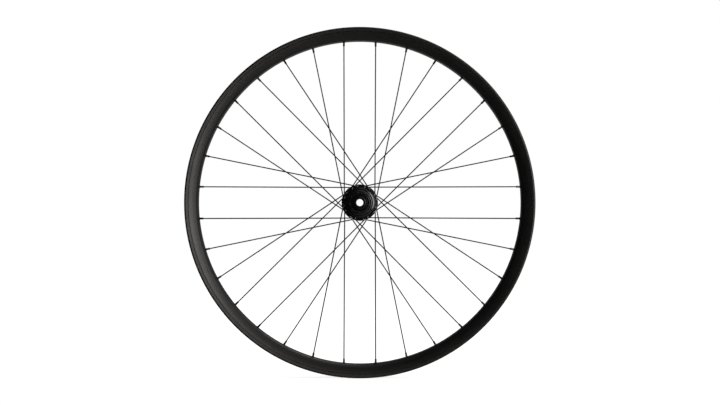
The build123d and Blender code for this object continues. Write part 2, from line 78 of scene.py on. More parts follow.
# %% Camera
CAMERA_DISTANCE = 2.456  # metres
LENS = 71.95  # mm
FRAME_MIDDLE = (0.00036, 0.0002)  # x and z, in metres
bpy.ops.object.camera_add(
    location=(FRAME_MIDDLE[0], -CAMERA_DISTANCE, FRAME_MIDDLE[1]), rotation=(math.radians(90), 0, 0)
)
camera = bpy.context.object
camera.name = "camera"
camera.data.lens = LENS
camera.data.sensor_width = 36
bpy.context.scene.camera = camera
bpy.context.scene.view_settings.view_transform = "Standard"
print("camera", CAMERA_DISTANCE, "m in front, lens", LENS)

# %% [markdown]
# ## Small helpers
# Operators act on whatever is selected, so each piece starts from a clean selection. Shader nodes are
# added and wired in nearly every cell, so a few short functions keep those lines readable.


# %% Selection helpers
def start_clean():
    """Nothing selected and nothing active, so that the next operator touches only its own piece."""
    bpy.ops.object.select_all(action="DESELECT")
    bpy.context.view_layer.objects.active = None


def take(piece):
    """Select one piece alone and make it active."""
    start_clean()
    piece.select_set(True)
    bpy.context.view_layer.objects.active = piece


# %% Shader helpers
def add_node(tree, kind, **settings):
    """New shader node, with its own settings such as operation or data_type."""
    node = tree.nodes.new(kind)
    for name, value in settings.items():
        setattr(node, name, value)
    return node


def feed(tree, socket, value):
    """Wire another node's output into a socket, or set a plain value on it."""
    if isinstance(value, bpy.types.NodeSocket):
        tree.links.new(value, socket)
    else:
        socket.default_value = value


def sum_up(tree, operation, first, second):
    """Math node of two numbers or sockets. Returns its output."""
    node = add_node(tree, "ShaderNodeMath", operation=operation)
    feed(tree, node.inputs[0], first)
    feed(tree, node.inputs[1], second)
    return node.outputs[0]


def spread(tree, value, low, high):
    """Stretch a value from 0..1 to low..high. Returns the output."""
    node = add_node(tree, "ShaderNodeMapRange")
    tree.links.new(value, node.inputs["Value"])
    node.inputs["To Min"].default_value = low
    node.inputs["To Max"].default_value = high
    return node.outputs["Result"]


def ramp(tree, value, start, full):
    """Rise smoothly from 0, where the value is at start, to 1, where it is at full. Returns the output."""
    node = add_node(tree, "ShaderNodeMapRange", interpolation_type="SMOOTHSTEP")
    tree.links.new(value, node.inputs["Value"])
    feed(tree, node.inputs["From Min"], start)
    feed(tree, node.inputs["From Max"], full)
    return node.outputs["Result"]


def reach_along(tree, vector, way):
    """How far a vector reaches along a fixed direction. Returns the output."""
    node = add_node(tree, "ShaderNodeVectorMath", operation="DOT_PRODUCT")
    tree.links.new(vector, node.inputs[0])
    node.inputs[1].default_value = way
    return node.outputs["Value"]


def blend_colours(tree, share, first, second):
    """Mix two colours by a share. A colour is a tuple or a socket. Returns the output."""
    node = add_node(tree, "ShaderNodeMix", data_type="RGBA")
    tree.links.new(share, node.inputs["Factor"])
    for name, colour in (("A", first), ("B", second)):
        socket = [s for s in node.inputs if s.name == name and s.type == "RGBA"][0]
        feed(tree, socket, (*colour, 1) if isinstance(colour, tuple) else colour)
    return [s for s in node.outputs if s.type == "RGBA"][0]


# %% [markdown]
# ## The studio
# A glossy black wheel is mostly a mirror of its room. A strong soft lamp to the right of the camera draws
# the bright arcs on the right side of the hub, and with a wider, weaker lamp further round it draws the
# grey on the left side of the rim. Two dim lamps, above and behind, shape the other sides. The room is
# pale on the right, dark on the left and dim behind the wheel. To the camera it is white all over, and
# reflections get only a small share of that white, because it would turn a black wheel grey.

# %% Room colours
ROOM_DARK = (0.02, 0.02, 0.021)
ROOM_PALE = (0.64, 0.63, 0.62)
ROOM_BEHIND = (0.05, 0.05, 0.05)
PALE_WAY = (0.95, 0, 0.31)
BEHIND_START, BEHIND_FULL = 0.35, 0.75  # y of the direction
world = bpy.data.worlds.new("studio")
bpy.context.scene.world = world
world.use_nodes = True
tree = world.node_tree
tree.nodes.clear()
room = add_node(tree, "ShaderNodeBackground")
direction = add_node(tree, "ShaderNodeTexCoord")
parts = add_node(tree, "ShaderNodeSeparateXYZ")
tree.links.new(direction.outputs["Generated"], parts.inputs[0])
behind = ramp(tree, parts.outputs["Y"], BEHIND_START, BEHIND_FULL)
to_pale = ramp(tree, reach_along(tree, direction.outputs["Generated"], PALE_WAY), 0.0, 1.0)
sides = blend_colours(tree, to_pale, ROOM_DARK, ROOM_PALE)
tree.links.new(blend_colours(tree, behind, sides, ROOM_BEHIND), room.inputs["Color"])
print("room: pale towards", PALE_WAY)

# %% White backdrop
BACKDROP_GLOSS = 0.05
backdrop = add_node(tree, "ShaderNodeBackground")
backdrop.inputs["Color"].default_value = (1, 1, 1, 1)
path = add_node(tree, "ShaderNodeLightPath")
seen = sum_up(tree, "MAXIMUM", path.outputs["Is Camera Ray"], path.outputs["Is Transmission Ray"])
gloss_share = spread(tree, behind, 0.0, BACKDROP_GLOSS)
mirrored = sum_up(tree, "MULTIPLY", path.outputs["Is Glossy Ray"], gloss_share)
choice = add_node(tree, "ShaderNodeMixShader")
tree.links.new(sum_up(tree, "MAXIMUM", seen, mirrored), choice.inputs[0])
tree.links.new(room.outputs[0], choice.inputs[1])
tree.links.new(backdrop.outputs[0], choice.inputs[2])
world_out = add_node(tree, "ShaderNodeOutputWorld")
tree.links.new(choice.outputs[0], world_out.inputs["Surface"])
print("world: white to the camera, a dim room to the wheel")


# %% Lamps
def soft_lamp(name, way, distance, size, radiance, colour):
    """Area lamp that faces the hub, with its width and height in metres and the brightness of its face.

    way is (azimuth, elevation) in degrees, and the azimuth is counted from the camera towards +X.
    """
    turn, rise = (math.radians(angle) for angle in way)
    along = Vector((math.sin(turn) * math.cos(rise), -math.cos(turn) * math.cos(rise), math.sin(rise)))
    bpy.ops.object.light_add(type="AREA", location=along * distance)
    lamp = bpy.context.object
    lamp.name = name
    lamp.data.shape = "RECTANGLE"
    lamp.data.size, lamp.data.size_y = size
    lamp.data.energy = radiance * math.pi * size[0] * size[1]
    lamp.data.color = colour
    lamp.rotation_mode = "QUATERNION"
    lamp.rotation_quaternion = (-along).to_track_quat("-Z", "Y")


soft_lamp("right_softbox", (22, -4), distance=2.6, size=(1.1, 1.7), radiance=4.8, colour=(1.0, 0.95, 0.91))
soft_lamp("side_softbox", (54, 1), distance=2.6, size=(1.4, 2.3), radiance=1.15, colour=(1.0, 0.96, 0.93))
soft_lamp("rear_softbox", (150, 52), distance=2.6, size=(1.6, 1.6), radiance=1.1, colour=(1.0, 0.97, 0.95))
soft_lamp("top_softbox", (30, 80), distance=2.4, size=(1.6, 1.6), radiance=0.6, colour=(1, 1, 1))

# %% [markdown]
# ## The floor
# A pale floor keeps the faint shadow where the rim stands, and a glow of its own lifts it to white for the
# camera. The wheel mirrors the paint without that glow. The paint is pale towards the lamps, and on the
# other side it is darkened with painted shade, so that reflections of that side are as dark as the room.

# %% Floor
FLOOR_GAP = 0.0004
FLOOR_RADIUS = 6.0
bpy.ops.mesh.primitive_circle_add(
    vertices=96, radius=FLOOR_RADIUS, fill_type="NGON", location=(0, 0, cad_box[0].z - FLOOR_GAP)
)
floor = bpy.context.object
floor.name = "floor"
print("floor at z", round(floor.location.z, 4))

# %% Floor paint, with painted shade away from the lamps
TO_LIGHT = (0.92, 0.39, 0)
SHADE_FROM, SHADE_FULL = 0.0, -0.5  # metres towards the light
FLOOR_PALE = (0.85, 0.85, 0.85)
# The dark colour is painted shade, laid on the floor's side away from the lamps.
FLOOR_PAINTED_SHADE = (0.06, 0.06, 0.06)
GLOW_ON_PALE, GLOW_ON_SHADE = 0.86, 1.0
floor_finish = bpy.data.materials.new("pale floor")
floor_finish.use_nodes = True
tree = floor_finish.node_tree
tree.nodes.clear()
place = add_node(tree, "ShaderNodeTexCoord")
# The share of painted shade grows away from the lamps, and the glow grows with it so the camera still sees
# white.
painted_shade = ramp(tree, reach_along(tree, place.outputs["Object"], TO_LIGHT), SHADE_FROM, SHADE_FULL)
paint = add_node(tree, "ShaderNodeBsdfDiffuse")
tree.links.new(blend_colours(tree, painted_shade, FLOOR_PALE, FLOOR_PAINTED_SHADE), paint.inputs["Color"])
glow = add_node(tree, "ShaderNodeEmission")
glow.inputs["Color"].default_value = (1, 1, 1, 1)
tree.links.new(spread(tree, painted_shade, GLOW_ON_PALE, GLOW_ON_SHADE), glow.inputs["Strength"])
both = add_node(tree, "ShaderNodeAddShader")
tree.links.new(paint.outputs[0], both.inputs[0])
tree.links.new(glow.outputs[0], both.inputs[1])
path = add_node(tree, "ShaderNodeLightPath")
seen = sum_up(tree, "MAXIMUM", path.outputs["Is Camera Ray"], path.outputs["Is Transmission Ray"])
choice = add_node(tree, "ShaderNodeMixShader")
tree.links.new(seen, choice.inputs[0])
tree.links.new(paint.outputs[0], choice.inputs[1])
tree.links.new(both.outputs[0], choice.inputs[2])
floor_out = add_node(tree, "ShaderNodeOutputMaterial")
tree.links.new(choice.outputs[0], floor_out.inputs["Surface"])
floor.data.materials.append(floor_finish)
print("paint:", floor_finish.name)

# %% [markdown]
# ## Effects that several finishes share
# Four things show on nearly every surface of a wheel: fine rings left by the lathe, faint marks from
# handling, edges rubbed lighter by use, and on the rim the lie of the carbon fibres. Each is a node group
# that puts out a value from 0 to 1, so a finish decides for itself what that value does to its colour,
# its gloss or its bumps. All of them read Object coordinates, which are the wheel's own metres.


# %% Start of a node group
def new_effect(name, inputs, outputs):
    """Empty shader group. inputs holds (name, value) pairs, outputs holds names."""
    group = bpy.data.node_groups.new(name, "ShaderNodeTree")
    for socket_name, value in inputs:
        socket = group.interface.new_socket(socket_name, in_out="INPUT", socket_type="NodeSocketFloat")
        socket.default_value = value
    for socket_name in outputs:
        group.interface.new_socket(socket_name, in_out="OUTPUT", socket_type="NodeSocketFloat")
    return group, add_node(group, "NodeGroupInput"), add_node(group, "NodeGroupOutput")


def axle_place(tree):
    """Sockets for the distance from the axle line, for y, and for the direction around the axle."""
    place = add_node(tree, "ShaderNodeTexCoord")
    parts = add_node(tree, "ShaderNodeSeparateXYZ")
    tree.links.new(place.outputs["Object"], parts.inputs[0])
    flat = add_node(tree, "ShaderNodeCombineXYZ")
    tree.links.new(parts.outputs["X"], flat.inputs["X"])
    tree.links.new(parts.outputs["Z"], flat.inputs["Z"])
    reach = add_node(tree, "ShaderNodeVectorMath", operation="LENGTH")
    tree.links.new(flat.outputs[0], reach.inputs[0])
    around = add_node(tree, "ShaderNodeVectorMath", operation="NORMALIZE")
    tree.links.new(flat.outputs[0], around.inputs[0])
    return reach.outputs["Value"], parts.outputs["Y"], around.outputs["Vector"]


def add_noise(tree, vector, scale, detail, fourth=None):
    """Noise over a vector, and over a fourth coordinate if there is one. Returns the output."""
    node = add_node(tree, "ShaderNodeTexNoise", noise_dimensions="3D" if fourth is None else "4D")
    tree.links.new(vector, node.inputs["Vector"])
    feed(tree, node.inputs["Scale"], scale)
    node.inputs["Detail"].default_value = detail
    if fourth is not None:
        tree.links.new(fourth, node.inputs["W"])
    return node.outputs[0]


# %% Lathe rings
lathe_rings, ends, out = new_effect("lathe rings", [("Spacing", 0.0005)], ["Rings"])
radius, y, _ = axle_place(lathe_rings)
rows = add_node(lathe_rings, "ShaderNodeCombineXYZ")
lathe_rings.links.new(sum_up(lathe_rings, "DIVIDE", radius, ends.outputs["Spacing"]), rows.inputs["X"])
lathe_rings.links.new(sum_up(lathe_rings, "DIVIDE", y, ends.outputs["Spacing"]), rows.inputs["Y"])
noise = add_noise(lathe_rings, rows.outputs[0], scale=1.0, detail=2.0)
lathe_rings.links.new(noise, out.inputs["Rings"])
print("effect:", lathe_rings.name)

# %% Handling marks
MARK_SPAN = (0.32, 0.68)
handling_marks, ends, out = new_effect(
    "handling marks", [("Patches per metre", 60.0), ("Grain per metre", 2500.0)], ["Patches", "Grain"]
)
place = add_node(handling_marks, "ShaderNodeTexCoord")
for name, detail in (("Patches", 3.0), ("Grain", 1.0)):
    noise = add_noise(handling_marks, place.outputs["Object"], ends.outputs[name + " per metre"], detail)
    handling_marks.links.new(ramp(handling_marks, noise, *MARK_SPAN), out.inputs[name])
print("effect:", handling_marks.name)

# %% Rubbed edges
rubbed_edges, ends, out = new_effect("rubbed edges", [("Start", 0.52), ("Full", 0.62)], ["Edge"])
shape = add_node(rubbed_edges, "ShaderNodeNewGeometry")
sharp = ramp(rubbed_edges, shape.outputs["Pointiness"], ends.outputs["Start"], ends.outputs["Full"])
place = add_node(rubbed_edges, "ShaderNodeTexCoord")
noise = add_noise(rubbed_edges, place.outputs["Object"], scale=700.0, detail=3.0)
uneven = spread(rubbed_edges, noise, 0.2, 1.2)
rubbed_edges.links.new(sum_up(rubbed_edges, "MULTIPLY", sharp, uneven), out.inputs["Edge"])
print("effect:", rubbed_edges.name)

# %% Fibre lay
FIBRE_WIDTH = 0.0006
FIBRE_TURNS = 9.0
PLY_TURNS = 2.2
PLY_FIBRES = 24.0
FIBRE_SPAN = (0.3, 0.7)
fibre_lay, ends, out = new_effect("fibre lay", [("Fibre width", FIBRE_WIDTH)], ["Fibres", "Plies"])
radius, y, around = axle_place(fibre_lay)
rise = sum_up(fibre_lay, "DIVIDE", radius, ends.outputs["Fibre width"])
across = sum_up(fibre_lay, "DIVIDE", y, ends.outputs["Fibre width"])
for name, turns, width in (("Fibres", FIBRE_TURNS, 1.0), ("Plies", PLY_TURNS, PLY_FIBRES)):
    along = add_node(fibre_lay, "ShaderNodeVectorMath", operation="SCALE")
    along.inputs["Scale"].default_value = turns
    fibre_lay.links.new(around, along.inputs[0])
    aside = add_node(fibre_lay, "ShaderNodeCombineXYZ")
    fibre_lay.links.new(sum_up(fibre_lay, "DIVIDE", across, width), aside.inputs["Y"])
    moved = add_node(fibre_lay, "ShaderNodeVectorMath", operation="ADD")
    fibre_lay.links.new(along.outputs[0], moved.inputs[0])
    fibre_lay.links.new(aside.outputs[0], moved.inputs[1])
    height = sum_up(fibre_lay, "DIVIDE", rise, width)
    noise = add_noise(fibre_lay, moved.outputs[0], scale=1.0, detail=1.5, fourth=height)
    fibre_lay.links.new(ramp(fibre_lay, noise, *FIBRE_SPAN), out.inputs[name])
print("effect:", fibre_lay.name)

# %% [markdown]
# ## Finishes
# Every finish is a Principled shader whose colour, roughness and bumps come from those effects. Numbers
# that are the same all over the piece, such as how metallic it is, are set on the shader itself.


# %% Start of a finish
def new_finish(name, metallic=0.0, specular=0.5):
    """Material with a Principled shader. Returns the material, its tree and the shader."""
    finish = bpy.data.materials.new(name)
    finish.use_nodes = True
    tree = finish.node_tree
    shader = tree.nodes["Principled BSDF"]
    shader.inputs["Metallic"].default_value = metallic
    shader.inputs["Specular IOR Level"].default_value = specular
    return finish, tree, shader


def add_effect(tree, group, **values):
    """Place a shared effect in a finish. Values name the group's inputs, with _ for a space."""
    node = add_node(tree, "ShaderNodeGroup", node_tree=group)
    for name, value in values.items():
        node.inputs[name.replace("_", " ")].default_value = value
    return node


def dress(tree, shader, colour, rough_map, height, depth, strength):
    """Wire in colour and roughness, and bump the surface by a height from 0 to 1, of a depth in metres."""
    tree.links.new(colour, shader.inputs["Base Color"])
    tree.links.new(rough_map, shader.inputs["Roughness"])
    bump = add_node(tree, "ShaderNodeBump")
    bump.inputs["Distance"].default_value = depth
    bump.inputs["Strength"].default_value = strength
    tree.links.new(height, bump.inputs["Height"])
    tree.links.new(bump.outputs["Normal"], shader.inputs["Normal"])


# %% Satin carbon
def satin_carbon():
    """Moulded carbon under a thin satin lacquer: long fibres around the rim, in patches of cloth."""
    finish, tree, shader = new_finish("satin carbon")
    lay = add_effect(tree, fibre_lay)
    marks = add_effect(tree, handling_marks, Patches_per_metre=25.0, Grain_per_metre=1800.0)
    dark = blend_colours(tree, lay.outputs["Plies"], (0.0030, 0.0029, 0.0028), (0.0042, 0.0040, 0.0039))
    colour = blend_colours(tree, lay.outputs["Fibres"], dark, (0.0075, 0.0071, 0.0068))
    lacquer = spread(tree, lay.outputs["Fibres"], 0.30, 0.33)
    rough_map = sum_up(tree, "ADD", lacquer, spread(tree, marks.outputs["Patches"], 0.0, 0.04))
    height = sum_up(tree, "ADD", lay.outputs["Fibres"], spread(tree, marks.outputs["Grain"], 0.0, 0.35))
    dress(tree, shader, colour, rough_map, height, depth=0.000009, strength=0.5)
    return finish


# %% Black metal finishes
COOL_TINT = (0.94, 0.97, 1.0, 1)
CLOUDING = 1.6


def black_metal(name, dark, pale, roughness, ring_spacing, wear, specular=0.5):
    """Turned metal, dyed black: lathe rings under the colour, and edges rubbed towards the pale colour."""
    finish, tree, shader = new_finish(name, specular=specular)
    shader.inputs["Specular Tint"].default_value = COOL_TINT
    rings = add_effect(tree, lathe_rings, Spacing=ring_spacing)
    marks = add_effect(tree, handling_marks)
    edge = add_effect(tree, rubbed_edges)
    clouded = tuple(CLOUDING * c for c in dark)
    ground = blend_colours(tree, marks.outputs["Patches"], dark, clouded)
    worn = sum_up(tree, "MULTIPLY", edge.outputs["Edge"], wear)
    colour = blend_colours(tree, worn, ground, pale)
    ringed = spread(tree, rings.outputs["Rings"], roughness - 0.01, roughness + 0.01)
    rough_map = sum_up(tree, "ADD", ringed, spread(tree, marks.outputs["Patches"], 0.0, 0.015))
    height = sum_up(tree, "ADD", rings.outputs["Rings"], spread(tree, marks.outputs["Grain"], 0.0, 0.3))
    dress(tree, shader, colour, rough_map, height, depth=0.000001, strength=0.5)
    return finish


# %% Bright metal finishes
def bright_metal(name, dark, pale, roughness, ring_spacing):
    """Bare turned or ground metal: bright rings from the lathe or the wheel."""
    finish, tree, shader = new_finish(name, metallic=1.0)
    rings = add_effect(tree, lathe_rings, Spacing=ring_spacing)
    marks = add_effect(tree, handling_marks)
    colour = blend_colours(tree, rings.outputs["Rings"], dark, pale)
    ringed = spread(tree, rings.outputs["Rings"], roughness, roughness + 0.08)
    rough_map = sum_up(tree, "ADD", ringed, spread(tree, marks.outputs["Patches"], 0.0, 0.08))
    dress(tree, shader, colour, rough_map, rings.outputs["Rings"], depth=0.00001, strength=0.4)
    return finish


# %% Drawn wire and rubber
HEAD_FROM, HEAD_FULL = 0.034, 0.030  # metres from the axle line


def drawn_wire():
    """Spoke wire, drawn and then blackened: matt along its length, and smooth at its forged head."""
    finish, tree, shader = new_finish("blackened wire", specular=0.35)
    shader.inputs["Coat Roughness"].default_value = 0.1
    shader.inputs["Coat IOR"].default_value = 2.2
    radius, _, _ = axle_place(tree)
    tree.links.new(ramp(tree, radius, HEAD_FROM, HEAD_FULL), shader.inputs["Coat Weight"])
    marks = add_effect(tree, handling_marks, Patches_per_metre=90.0, Grain_per_metre=4000.0)
    colour = blend_colours(tree, marks.outputs["Patches"], (0.003, 0.003, 0.003), (0.008, 0.0075, 0.007))
    rough_map = spread(tree, marks.outputs["Grain"], 0.26, 0.36)
    dress(tree, shader, colour, rough_map, marks.outputs["Grain"], depth=0.000008, strength=0.4)
    return finish


def lip_rubber():
    """Moulded seal rubber: smooth from its mould, with a film of grease."""
    finish, tree, shader = new_finish("seal rubber", specular=0.6)
    marks = add_effect(tree, handling_marks, Patches_per_metre=120.0, Grain_per_metre=3000.0)
    colour = blend_colours(tree, marks.outputs["Patches"], (0.007, 0.007, 0.007), (0.014, 0.014, 0.0145))
    rough_map = spread(tree, marks.outputs["Grain"], 0.26, 0.34)
    dress(tree, shader, colour, rough_map, marks.outputs["Grain"], depth=0.000004, strength=0.5)
    return finish


# %% One finish for each material slot of the record
finishes = {
    "carbon": satin_carbon(),
    "spoke_black": drawn_wire(),
    "seal_rubber": lip_rubber(),
    "nipple_black": black_metal(
        "black nipple", (0.010, 0.0105, 0.012), (0.03, 0.03, 0.032),
        roughness=0.24, ring_spacing=0.0003, wear=0.5,
    ),
    "hub_black": black_metal(
        "black hub shell", (0.004, 0.004, 0.0043), (0.015, 0.015, 0.016),
        roughness=0.09, ring_spacing=0.0004, wear=0.3, specular=0.88,
    ),
    "cap_black": black_metal(
        "black end cap", (0.004, 0.004, 0.0043), (0.02, 0.02, 0.021),
        roughness=0.10, ring_spacing=0.0003, wear=0.4, specular=0.6,
    ),
    "freehub_black": black_metal(
        "black freehub", (0.005, 0.005, 0.0053), (0.06, 0.059, 0.057),
        roughness=0.10, ring_spacing=0.0003, wear=0.5, specular=1.0,
    ),
    "axle_metal": bright_metal(
        "turned aluminium", (0.50, 0.50, 0.51), (0.70, 0.70, 0.71), roughness=0.22, ring_spacing=0.0003
    ),
    "bearing_steel": bright_metal(
        "ground steel", (0.46, 0.46, 0.47), (0.62, 0.62, 0.64), roughness=0.12, ring_spacing=0.00015
    ),
    "ratchet_steel": bright_metal(
        "hardened steel", (0.24, 0.235, 0.23), (0.40, 0.39, 0.38), roughness=0.30, ring_spacing=0.0003
    ),
    "spring_steel": bright_metal(
        "spring steel", (0.36, 0.35, 0.34), (0.52, 0.51, 0.50), roughness=0.22, ring_spacing=0.0002
    ),
}
for subpart in frame["record"]["subparts"]:
    node = frame["nodes"][subpart["node"]]
    node.material_slots[0].material = finishes[subpart["material_slot"]]
print(len(finishes), "finishes on", len(frame["nodes"]), "CAD nodes")

# %% [markdown]
# ## How a turned piece is modelled
# Nearly everything on a wheel is round about the axle. By hand, such a piece starts as a circle around
# the axle line. Its edge is extruded from one corner of the section to the next, and scaled to that
# corner's radius. The last ring meets the first, and merging the two closes the piece. Corners are then
# softened by bevelling the rings that stand there, which is what catches the light on the real piece.


# %% Turned pieces
MERGE_DISTANCE = 0.000005  # metres
CORNER_REACH = 0.03  # mm


def turn_on_axle(name, section, steps):
    """Closed ring about the axle line. section holds (radius, y) corners in mm, in order around it."""
    start_clean()
    radius, y = section[0]
    bpy.ops.mesh.primitive_circle_add(
        vertices=steps, radius=radius * MM, location=(0, y * MM, 0), rotation=(math.radians(90), 0, 0)
    )
    piece = bpy.context.object
    piece.name = name
    bpy.ops.object.transform_apply(location=True, rotation=True, scale=True)
    bpy.ops.object.mode_set(mode="EDIT")
    bpy.ops.mesh.select_all(action="SELECT")
    for (radius, y), (next_radius, next_y) in zip(section, section[1:] + section[:1]):
        bpy.ops.mesh.extrude_region_move(TRANSFORM_OT_translate={"value": (0, (next_y - y) * MM, 0)})
        grow = next_radius / radius
        bpy.ops.transform.resize(value=(grow, 1, grow), center_override=(0, next_y * MM, 0))
    bpy.ops.mesh.select_all(action="SELECT")
    bpy.ops.mesh.remove_doubles(threshold=MERGE_DISTANCE)
    bpy.ops.mesh.normals_make_consistent(inside=False)
    bpy.ops.object.mode_set(mode="OBJECT")
    return piece


def soften(piece, corner, width, segments):
    """Bevel the ring of edges that stands at one (radius, y) corner, in mm."""
    take(piece)
    mesh = piece.data
    at_corner = [
        abs(math.hypot(v.co.x, v.co.z) / MM - corner[0]) < CORNER_REACH
        and abs(v.co.y / MM - corner[1]) < CORNER_REACH
        for v in mesh.vertices
    ]
    bpy.ops.object.mode_set(mode="EDIT")
    bpy.ops.mesh.select_mode(type="EDGE")
    bpy.ops.mesh.select_all(action="DESELECT")
    bpy.ops.object.mode_set(mode="OBJECT")
    for edge in mesh.edges:
        edge.select = at_corner[edge.vertices[0]] and at_corner[edge.vertices[1]]
    bpy.ops.object.mode_set(mode="EDIT")
    bpy.ops.mesh.bevel(offset=width * MM, segments=segments, profile=0.5, affect="EDGES")
    bpy.ops.object.mode_set(mode="OBJECT")


# %% Posts, copies and cuts
def stack_post(name, stations, steps):
    """Round post up the Z axis. stations holds (height, radius) pairs in mm, from one end to the other."""
    start_clean()
    height, radius = stations[0]
    bpy.ops.mesh.primitive_circle_add(
        vertices=steps, radius=radius * MM, fill_type="NGON", location=(0, 0, height * MM)
    )
    piece = bpy.context.object
    piece.name = name
    bpy.ops.object.transform_apply(location=True)
    bpy.ops.object.mode_set(mode="EDIT")
    bpy.ops.mesh.select_all(action="SELECT")
    for (height, radius), (next_height, next_radius) in zip(stations, stations[1:]):
        step = (next_height - height) * MM
        bpy.ops.mesh.extrude_region_move(TRANSFORM_OT_translate={"value": (0, 0, step)})
        grow = next_radius / radius
        bpy.ops.transform.resize(value=(grow, grow, 1), center_override=(0, 0, next_height * MM))
    bpy.ops.mesh.select_all(action="SELECT")
    bpy.ops.mesh.normals_make_consistent(inside=False)
    bpy.ops.object.mode_set(mode="OBJECT")
    return piece


def copy_round(pattern, places):
    """Copy a piece to each place, each copy with its own mesh, and join the copies."""
    start_clean()
    for place in places:
        twin = pattern.copy()
        twin.data = pattern.data.copy()
        twin.data.transform(place)
        bpy.context.scene.collection.objects.link(twin)
        twin.select_set(True)
        bpy.context.view_layer.objects.active = twin
    bpy.data.objects.remove(pattern)
    bpy.ops.object.join()
    return bpy.context.object


def work_on(piece, tool, operation):
    """Cut a tool out of a piece, or join it on, with the Boolean modifier. The tool is used up."""
    take(piece)
    change = piece.modifiers.new(operation.lower(), "BOOLEAN")
    change.operation = operation
    change.solver = "EXACT"
    change.object = tool
    bpy.ops.object.modifier_apply(modifier=change.name)
    bpy.data.objects.remove(tool)


def turn_about_axle(degrees):
    """Turn about the axle line, counted from +X towards +Z."""
    return Matrix.Rotation(math.radians(-degrees), 4, "Y")


# %% Last steps of every piece
SMOOTH_ANGLE = 32  # degrees


def finish_piece(piece, node, body, slot):
    """Shade a piece, give it its finish and let it stand for its CAD node."""
    take(piece)
    bpy.ops.object.shade_smooth_by_angle(angle=math.radians(SMOOTH_ANGLE))
    flats = piece.modifiers.new("flat faces stay flat", "WEIGHTED_NORMAL")
    flats.keep_sharp = True
    flats.weight = 100
    bpy.ops.object.modifier_apply(modifier=flats.name)
    piece.data.materials.clear()
    piece.data.materials.append(finishes[slot])
    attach(piece, body)
    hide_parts(node)
    piece.data.calc_loop_triangles()
    print(piece.name, len(piece.data.loop_triangles), "triangles")


# %% [markdown]
# ## The rim
# The real rim is moulded carbon: a hollow box with a bed for the nipples that rounds into two sides, which
# lean outwards and are slightly crowned, and with two bead walls with a rounded lip. A fine crease runs
# where the bead wall meets the side. The section is drawn with sharp corners, turned, and each large
# corner is then bevelled by its own radius, so the crown and the lip come out as true rounds.

# %% Rim shell
RIM_STEPS = 320
half_section = [
    (275.0, 0.0),
    (275.0, 10.988),
    (284.12, 16.687),
    (290.3, 18.0),
    (290.7, 17.5),
    (291.1, 18.1),
    (295.2, 19.0),
    (298.0, 19.0),
    (298.0, 15.0),
    (292.0, 15.0),
    (292.0, 10.6),
    (292.4, 10.1),
    (292.0, 9.6),
    (287.5, 7.0),
    (287.5, 0.0),
]
rim_softened = [
    ((275.0, 10.988), 4.4, 8),
    ((284.12, 16.687), 6.28, 8),
    ((298.0, 19.0), 2.7, 9),
    ((298.0, 15.0), 0.7, 3),
    ((292.0, 15.0), 0.6, 3),
    ((287.5, 7.0), 1.2, 3),
]


def both_sides(half):
    """A section from its half at +Y: the corners off the middle plane are mirrored and put in reverse."""
    return half + [(radius, -y) for radius, y in reversed(half) if y > 0]


rim = turn_on_axle("carbon_rim", both_sides(half_section), RIM_STEPS)
for corner, width, segments in rim_softened:
    for side in (1, -1):
        soften(rim, (corner[0], side * corner[1]), width, segments)
print("rim shell", len(rim.data.vertices), "points")

# %% [markdown]
# ## The rim's hollow and its holes
# The cavity is turned in the same way and cut out of the shell. The holes go in by the same Boolean: one
# stepped drill, with the nipple's hole, its flat seat and the wider way in from the tyre side, is modelled
# once and copied to all 32 nipples. Each copy points along its own spoke, from the flange hole to the rim.

# %% Rim cavity
half_cavity = [
    (276.8, 0.0),
    (276.8, 6.553),
    (279.715, 11.811),
    (285.001, 14.505),
    (290.4, 14.439),
    (290.4, 10.6),
    (285.9, 7.0),
    (285.9, 0.0),
]
work_on(rim, turn_on_axle("cavity", both_sides(half_cavity), RIM_STEPS), "DIFFERENCE")
print("hollow rim", len(rim.data.polygons), "faces")

# %% Lacing
SPOKES = 32
PITCH = 360 / SPOKES
SPOKE_CIRCLE = 27.35
FLANGE_Y = {-1: -21.0, 1: 35.0}
NIPPLE_SEAT = 276.4
NIPPLE_Y = 2.5
HUB_OFFSET = 67.5  # degrees from a nipple to its flange hole


def round_point(radius, degrees, y):
    """Point in metres at a radius and y in mm, at an angle from +X towards +Z."""
    turn = math.radians(degrees)
    return Vector((radius * math.cos(turn), y, radius * math.sin(turn))) * MM


lacing = []
for number in range(SPOKES):
    side = -1 if number % 2 == 0 else 1
    lead = 1 if number % 4 < 2 else -1
    angle = (number + 0.5) * PITCH
    seat = round_point(NIPPLE_SEAT, angle, side * NIPPLE_Y)
    hub_hole = round_point(SPOKE_CIRCLE, angle + lead * HUB_OFFSET, FLANGE_Y[side])
    lacing.append((seat, hub_hole))
print(len(lacing), "spokes laced")

# %% Rim holes
nipple_drill = stack_post(
    "nipple_drill", [(-12, 2.3), (0, 2.3), (0.001, 3.2), (4.75, 3.2), (4.751, 4.2), (24, 4.2)], steps=24
)
nipple_places = [
    Matrix.Translation(seat) @ (seat - hub_hole).to_track_quat("Z", "Y").to_matrix().to_4x4()
    for seat, hub_hole in lacing
]
work_on(rim, copy_round(nipple_drill, nipple_places), "DIFFERENCE")
valve_drill = stack_post("valve_drill", [(260, 3.25), (300, 3.25)], steps=32)
work_on(rim, valve_drill, "DIFFERENCE")
finish_piece(rim, "rim", "wheel_assembly", "carbon")

# %% [markdown]
# ## The hub shell
# The shell is forged and then turned: a ratchet housing on the drive side, two spoke flanges, a slim
# barrel, and a six-lobed flange for the brake disc. The turned body comes first, with a narrow conical
# face on the housing's lip that mirrors the lamp as a bright arc. The lobes are posts joined on. The spoke
# and bolt holes are drills with a flare where the hole opens, because a real hole is countersunk and that
# small ring of light is what the eye finds.

